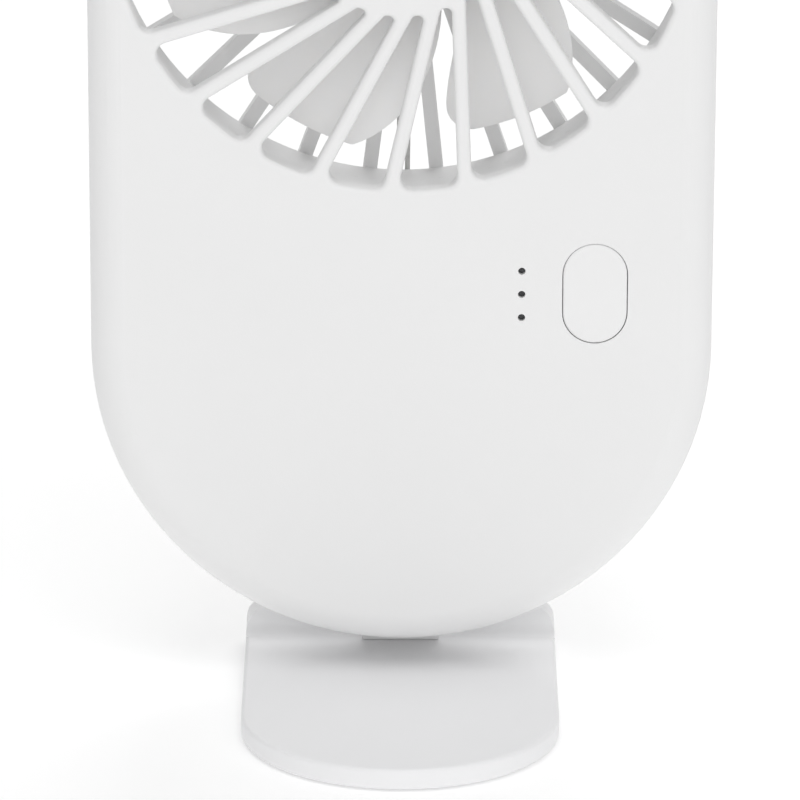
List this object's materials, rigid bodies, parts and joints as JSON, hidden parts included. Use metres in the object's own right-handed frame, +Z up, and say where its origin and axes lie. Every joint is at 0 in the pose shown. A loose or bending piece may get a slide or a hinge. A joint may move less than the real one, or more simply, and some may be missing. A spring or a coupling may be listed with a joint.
{
  "type": "handheld electric fan",
  "caption": "Slim handheld fan: round-ended white body with swirl grille, enclosed impeller, mode button, charging port and a hinged foot that folds flat into the back.",
  "frame": {"origin": "centre of the bounding box at the surface the foot stands on", "axes": "+Z up along the body, front grille faces -Y, +X to the right seen from the front"},
  "size_m": [0.072, 0.0502, 0.1305],
  "materials": {
    "front_shell": "fine matte moulded white plastic",
    "rear_shell": "fine matte moulded white plastic",
    "impeller": "milky, slightly translucent satin white plastic",
    "rotor_steel": "plain drawn steel",
    "magnet": "bonded ferrite, matte dark grey",
    "shaft_steel": "ground steel",
    "clip_plastic": "natural dark nylon",
    "bush_bronze": "sintered bronze, satin",
    "tower_brass": "turned brass",
    "core_steel": "stacked laminations",
    "coil_copper": "enamelled copper winding",
    "circuit_green": "solder-resist green board",
    "component_black": "moulded black component bodies",
    "screw_steel": "zinc-plated steel",
    "cell_foil": "silver laminate foil",
    "foam": "black adhesive foam",
    "lead_red": "silicone-covered wire",
    "lead_grey": "pale grey covered wire",
    "port_steel": "bright nickel-plated steel sleeve",
    "port_tongue": "black moulded tongue",
    "button": "fine matte moulded white plastic",
    "plunger": "black moulded plastic",
    "switch_body": "black moulded switch body",
    "light_guide": "smoked clear plastic, unlit",
    "led": "unlit resin package",
    "pin_steel": "ground steel",
    "stand_foot": "fine matte moulded white plastic",
    "foot_pad": "soft grey rubber"
  },
  "bodies": {
    "housing": {"front_shell": "front_shell", "rear_shell": "rear_shell", "bearing_tower": "tower_brass", "motor_bush": "bush_bronze", "stator_core": "core_steel", "stator_coils": "coil_copper", "motor_board": "circuit_green", "motor_leads": "lead_grey", "main_board": "circuit_green", "board_components": "component_black", "board_screws": "screw_steel", "housing_screws": "screw_steel", "battery_cell": "cell_foil", "battery_pad": "foam", "battery_board": "circuit_green", "battery_leads": "lead_red", "usb_socket": "port_steel", "usb_tongue": "port_tongue", "tact_switch": "switch_body", "light_guide": "light_guide", "indicator_leds": "led", "hinge_pin": "pin_steel"},
    "rotor": {"impeller": "impeller", "rotor_cup": "rotor_steel", "rotor_magnet": "magnet", "motor_shaft": "shaft_steel", "shaft_clip": "clip_plastic"},
    "button": {"mode_button": "button", "switch_plunger": "plunger"},
    "stand": {"stand_foot": "stand_foot", "foot_pad": "foot_pad", "hinge_washers": "pin_steel"}
  },
  "joints": [
    {"name": "impeller_spin", "type": "hinge", "parent": "housing", "child": "rotor", "pos_m": [0, 0.01277, 0.0945], "axis": [0, 1, 0], "continuous": true},
    {"name": "button_press", "type": "slide", "parent": "housing", "child": "button", "axis": [0, 1, 0], "range_m": [0, 0.0005], "stiffness_N_per_m": 400},
    {"name": "stand_fold", "type": "hinge", "parent": "housing", "child": "stand", "pos_m": [0, 0.02247, 0.0029], "axis": [1, 0, 0], "range_deg": [0, 270]}
  ]
}
